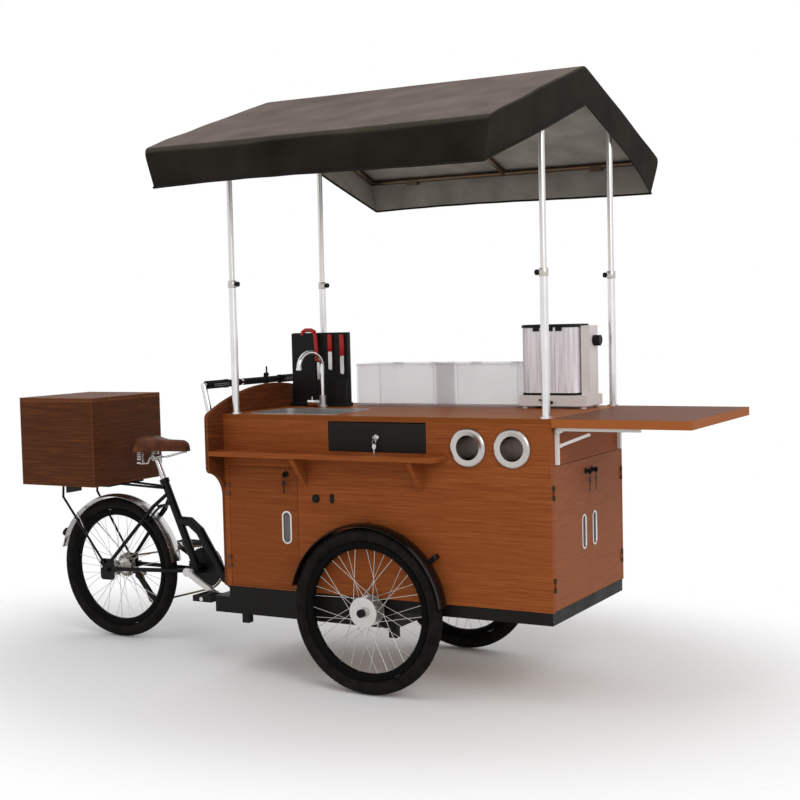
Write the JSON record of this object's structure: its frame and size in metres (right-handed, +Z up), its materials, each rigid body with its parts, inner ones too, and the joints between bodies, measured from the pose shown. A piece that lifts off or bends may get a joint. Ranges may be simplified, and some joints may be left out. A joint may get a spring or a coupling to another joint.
{
  "type": "bicycle food cart",
  "caption": "Pedal cart with a wooden serving cabinet under a raised cloth canopy between its front wheels, and a rider frame with saddle, chain drive and box behind.",
  "frame": {"origin": "on the ground under the middle of the bounding box", "axes": "+X towards the serving leaf, +Z up, -Y to the side with the shelf, the drawer and the cup dispensers"},
  "size_m": [3.017, 1.594, 2.239],
  "materials": {
    "chassis_paint": "satin black paint",
    "panel_wood": "warm red-brown laminate",
    "headboard_wood": "darker red-brown laminate",
    "inner_wood": "plain board",
    "counter_wood": "warm red-brown laminate",
    "sink_steel": "brushed",
    "cup_steel": "brushed",
    "pole_steel": "polished",
    "black_plastic": "matte",
    "hinge_steel": "brushed",
    "bar_steel": "polished",
    "grip_rubber": "matte",
    "fender_paint": "gloss black paint",
    "case_clear": "clear",
    "steamer_steel": "brushed",
    "steamer_clear": "gloss",
    "rack_black": "matte",
    "bracket_steel": "white paint",
    "door_wood": "warm red-brown laminate",
    "drawer_black": "matte",
    "tap_chrome": "polished",
    "lever_alloy": "satin",
    "canopy_tube": "satin",
    "canopy_cloth": "woven",
    "tyre_rubber": "matte",
    "rim_black": "black",
    "hub_alloy": "polished",
    "frame_paint": "satin black paint",
    "post_alloy": "satin",
    "spring_chrome": "polished",
    "saddle_leather": "smooth",
    "crank_alloy": "polished",
    "chain_steel": "oiled",
    "drive_black": "satin",
    "pedal_black": "matte",
    "fender_silver": "polished",
    "box_wood": "dark red-brown laminate"
  },
  "bodies": {
    "cart": {"chassis_frame": "chassis_paint", "cabinet_panels": "panel_wood", "headboard": "headboard_wood", "inner_boards": "inner_wood", "counter_top": "counter_wood", "sink_bowl": "sink_steel", "side_shelf": "panel_wood", "cup_dispensers": "cup_steel", "lower_poles": "pole_steel", "pole_clamps": "black_plastic", "cabinet_hinges": "hinge_steel", "handlebar": "bar_steel", "handlebar_grips": "grip_rubber", "front_fenders": "fender_paint", "display_cases": "case_clear", "steamer_base": "steamer_steel", "steamer_drum": "steamer_clear", "utensil_rack": "rack_black", "leaf_bracket_legs": "bracket_steel"},
    "bike": {"bike_frame": "frame_paint", "chain": "chain_steel", "derailleur": "drive_black", "rear_fender": "fender_silver", "rear_carrier": "frame_paint", "rear_box": "box_wood"},
    "near_wheel": {"near_tyre": "tyre_rubber", "near_rim": "rim_black", "near_hub": "hub_alloy"},
    "far_wheel": {"far_tyre": "tyre_rubber", "far_rim": "rim_black", "far_hub": "hub_alloy"},
    "rear_wheel": {"rear_tyre": "tyre_rubber", "rear_rim": "rim_black", "rear_hub": "hub_alloy"},
    "cogs": {"sprocket_cluster": "chain_steel"},
    "cranks": {"crank_arms": "crank_alloy", "chainring": "drive_black"},
    "near_pedal": {"pedal_near": "pedal_black"},
    "far_pedal": {"pedal_far": "pedal_black"},
    "seat": {"seat_post": "post_alloy", "saddle_springs": "spring_chrome", "saddle": "saddle_leather"},
    "lid_of_box": {"box_lid": "box_wood"},
    "canopy": {"canopy_frame": "canopy_tube", "canopy_cover": "canopy_cloth"},
    "cupboard_door": {"near_door": "door_wood"},
    "near_front_door": {"front_door_near": "door_wood"},
    "far_front_door": {"front_door_far": "door_wood"},
    "sliding_drawer": {"drawer": "drawer_black"},
    "leaf": {"end_leaf": "counter_wood", "leaf_bracket_arms": "bracket_steel"},
    "struts": {"leaf_struts": "bracket_steel"},
    "left_case_lid": {"display_lid_left": "case_clear"},
    "right_case_lid": {"display_lid_right": "case_clear"},
    "knob": {"steamer_knob": "black_plastic"},
    "spout": {"tap_spout": "tap_chrome"},
    "tap_handle": {"tap_lever": "tap_chrome"},
    "near_brake": {"brake_lever_near": "lever_alloy"},
    "far_brake": {"brake_lever_far": "lever_alloy"},
    "shifter": {"shifter_lever": "black_plastic"}
  },
  "joints": [
    {"name": "steering", "type": "hinge", "parent": "cart", "child": "bike", "pos_m": [-0.4415, 0, 0.268], "axis": [0, 0, 1], "range_deg": [-24, 24]},
    {"name": "near_wheel_spin", "type": "hinge", "parent": "cart", "child": "near_wheel", "pos_m": [0.3085, -0.391, 0.305], "axis": [0, 1, 0], "continuous": true},
    {"name": "far_wheel_spin", "type": "hinge", "parent": "cart", "child": "far_wheel", "pos_m": [0.3085, 0.391, 0.305], "axis": [0, 1, 0], "continuous": true},
    {"name": "rear_wheel_spin", "type": "hinge", "parent": "bike", "child": "rear_wheel", "pos_m": [-1.1705, 0, 0.305], "axis": [0, 1, 0], "continuous": true},
    {"name": "crank_spin", "type": "hinge", "parent": "bike", "child": "cranks", "pos_m": [-0.7515, 0, 0.32], "axis": [0, 1, 0], "continuous": true},
    {"name": "cog_spin", "type": "hinge", "parent": "bike", "child": "cogs", "pos_m": [-1.1705, 0, 0.305], "axis": [0, 1, 0], "continuous": true},
    {"name": "near_pedal_spin", "type": "hinge", "parent": "cranks", "child": "near_pedal", "pos_m": [-0.60281, -0.127, 0.23758], "axis": [0, 1, 0], "continuous": true},
    {"name": "far_pedal_spin", "type": "hinge", "parent": "cranks", "child": "far_pedal", "pos_m": [-0.90019, 0.127, 0.40242], "axis": [0, 1, 0], "continuous": true},
    {"name": "seat_height", "type": "slide", "parent": "bike", "child": "seat", "axis": [-0.3955, 0, 0.9184], "range_m": [-0.06, 0.09]},
    {"name": "box_lid_hinge", "type": "hinge", "parent": "bike", "child": "lid_of_box", "pos_m": [-1.1005, 0, 1.04215], "axis": [0, 1, 0], "range_deg": [0, 95]},
    {"name": "canopy_height", "type": "slide", "parent": "cart", "child": "canopy", "axis": [0, 0, 1], "range_m": [-0.38, 0]},
    {"name": "cupboard_door_hinge", "type": "hinge", "parent": "cart", "child": "cupboard_door", "pos_m": [-0.3205, -0.349, 0.58], "axis": [0, 0, -1], "range_deg": [0, 95]},
    {"name": "near_front_door_hinge", "type": "hinge", "parent": "cart", "child": "near_front_door", "pos_m": [1.0225, -0.326, 0.596], "axis": [0, 0, -1], "range_deg": [0, 110]},
    {"name": "far_front_door_hinge", "type": "hinge", "parent": "cart", "child": "far_front_door", "pos_m": [1.0225, 0.326, 0.596], "axis": [0, 0, 1], "range_deg": [0, 110]},
    {"name": "drawer_slide", "type": "slide", "parent": "cart", "child": "sliding_drawer", "axis": [0, -1, 0], "range_m": [0, 0.3]},
    {"name": "leaf_hinge", "type": "hinge", "parent": "cart", "child": "leaf", "pos_m": [1.0365, 0, 0.968], "axis": [0, -1, 0], "range_deg": [-90, 0]},
    {"name": "strut_hinge", "type": "hinge", "parent": "cart", "child": "struts", "pos_m": [1.0385, 0, 0.917], "axis": [0, -1, 0], "range_deg": [-112, 0]},
    {"name": "left_case_hinge", "type": "hinge", "parent": "cart", "child": "left_case_lid", "pos_m": [0.1435, 0.339, 1.17615], "axis": [-1, 0, 0], "range_deg": [0, 100]},
    {"name": "right_case_hinge", "type": "hinge", "parent": "cart", "child": "right_case_lid", "pos_m": [0.5035, 0.339, 1.17615], "axis": [-1, 0, 0], "range_deg": [0, 100]},
    {"name": "steamer_knob_turn", "type": "hinge", "parent": "cart", "child": "knob", "pos_m": [0.9645, 0.2085, 1.264], "axis": [1, 0, 0], "range_deg": [-135, 135]},
    {"name": "spout_swing", "type": "hinge", "parent": "cart", "child": "spout", "pos_m": [-0.1495, 0.075, 1.04], "axis": [0, 0, 1], "range_deg": [-60, 60]},
    {"name": "tap_handle_turn", "type": "hinge", "parent": "cart", "child": "tap_handle", "pos_m": [-0.1815, 0.075, 1.028], "axis": [1, 0, 0], "range_deg": [0, 90]},
    {"name": "near_brake_pull", "type": "hinge", "parent": "cart", "child": "near_brake", "pos_m": [-0.4055, -0.192, 1.12], "axis": [0, 0, -1], "range_deg": [0, 10], "stiffness_Nm_per_rad": 1.2},
    {"name": "far_brake_pull", "type": "hinge", "parent": "cart", "child": "far_brake", "pos_m": [-0.4055, 0.192, 1.12], "axis": [0, 0, 1], "range_deg": [0, 10], "stiffness_Nm_per_rad": 1.2},
    {"name": "shifter_turn", "type": "hinge", "parent": "cart", "child": "shifter", "pos_m": [-0.4335, 0.092, 1.142], "axis": [0, 1, 0], "range_deg": [-35, 35]}
  ],
  "couplings": [
    {"joint": "cog_spin", "follows": "crank_spin", "ratio": 2.5556},
    {"joint": "strut_hinge", "follows": "leaf_hinge", "ratio": 1.2333}
  ]
}
